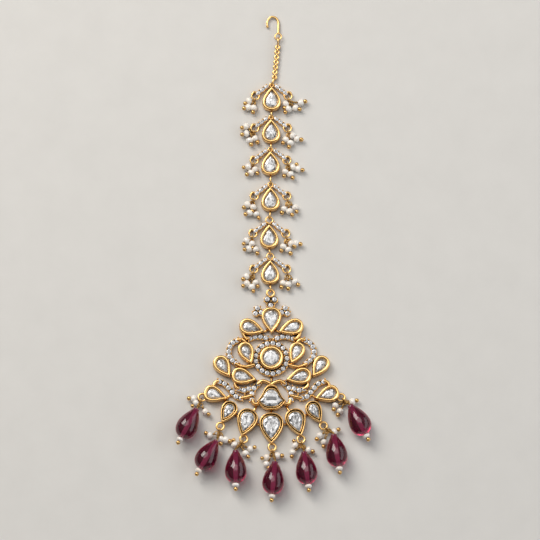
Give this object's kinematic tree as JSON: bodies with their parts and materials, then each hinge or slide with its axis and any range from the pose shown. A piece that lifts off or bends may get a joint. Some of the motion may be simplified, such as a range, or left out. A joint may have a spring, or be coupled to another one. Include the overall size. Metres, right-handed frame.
{
  "type": "maang tikka",
  "caption": "Forehead ornament: openwork pendant of foiled pear stones and paved scrolls with glass drops, on a chain of linked pear stations with seed pearls and a hair hook.",
  "frame": {"origin": "centre of the back of the round centre setting, on the plane the ornament lies on", "axes": "+Y runs up the chain to the hair hook, +X across the ornament to its right as seen from the front, +Z out of its front"},
  "size_m": [0.0644, 0.1676, 0.0071],
  "materials": {
    "gold": "satin antique gold plate",
    "polki_stone": "foil-backed flat-cut clear stone",
    "seed_pearl": "soft pearl lustre",
    "ruby_glass": "clear polished wine-red glass"
  },
  "bodies": {
    "root": {"hair_hook": "gold", "chain": "gold", "station_1_frame": "gold", "station_1_stone": "polki_stone", "station_2_frame": "gold", "station_2_stone": "polki_stone", "station_3_frame": "gold", "station_3_stone": "polki_stone", "station_4_frame": "gold", "station_4_stone": "polki_stone", "station_5_frame": "gold", "station_5_stone": "polki_stone", "station_6_frame": "gold", "station_6_stone": "polki_stone", "station_1_pearls_left": "seed_pearl", "station_1_pearls_right": "seed_pearl", "station_2_pearls_left": "seed_pearl", "station_2_pearls_right": "seed_pearl", "station_3_pearls_left": "seed_pearl", "station_3_pearls_right": "seed_pearl", "station_4_pearls_left": "seed_pearl", "station_4_pearls_right": "seed_pearl", "station_5_pearls_left": "seed_pearl", "station_5_pearls_right": "seed_pearl", "station_6_pearls_left": "seed_pearl", "station_6_pearls_right": "seed_pearl", "pendant_frame": "gold", "stone_crown": "polki_stone", "stone_upper_left": "polki_stone", "stone_upper_right": "polki_stone", "stone_cheek_left": "polki_stone", "stone_cheek_right": "polki_stone", "stone_outer_left": "polki_stone", "stone_outer_right": "polki_stone", "stone_lower_left": "polki_stone", "stone_lower_right": "polki_stone", "stone_wing_left": "polki_stone", "stone_wing_right": "polki_stone", "stone_hem_outer_left": "polki_stone", "stone_hem_outer_right": "polki_stone", "stone_hem_inner_left": "polki_stone", "stone_hem_inner_right": "polki_stone", "stone_hem_middle": "polki_stone", "stone_centre": "polki_stone", "stone_bell": "polki_stone", "drop_1_pin": "seed_pearl", "drop_1_bead": "ruby_glass", "drop_2_pin": "seed_pearl", "drop_2_bead": "ruby_glass", "drop_3_pin": "seed_pearl", "drop_3_bead": "ruby_glass", "drop_4_pin": "seed_pearl", "drop_4_bead": "ruby_glass", "drop_5_pin": "seed_pearl", "drop_5_bead": "ruby_glass", "drop_6_pin": "seed_pearl", "drop_6_bead": "ruby_glass", "drop_7_pin": "seed_pearl", "drop_7_bead": "ruby_glass"}
  },
  "joints": []
}
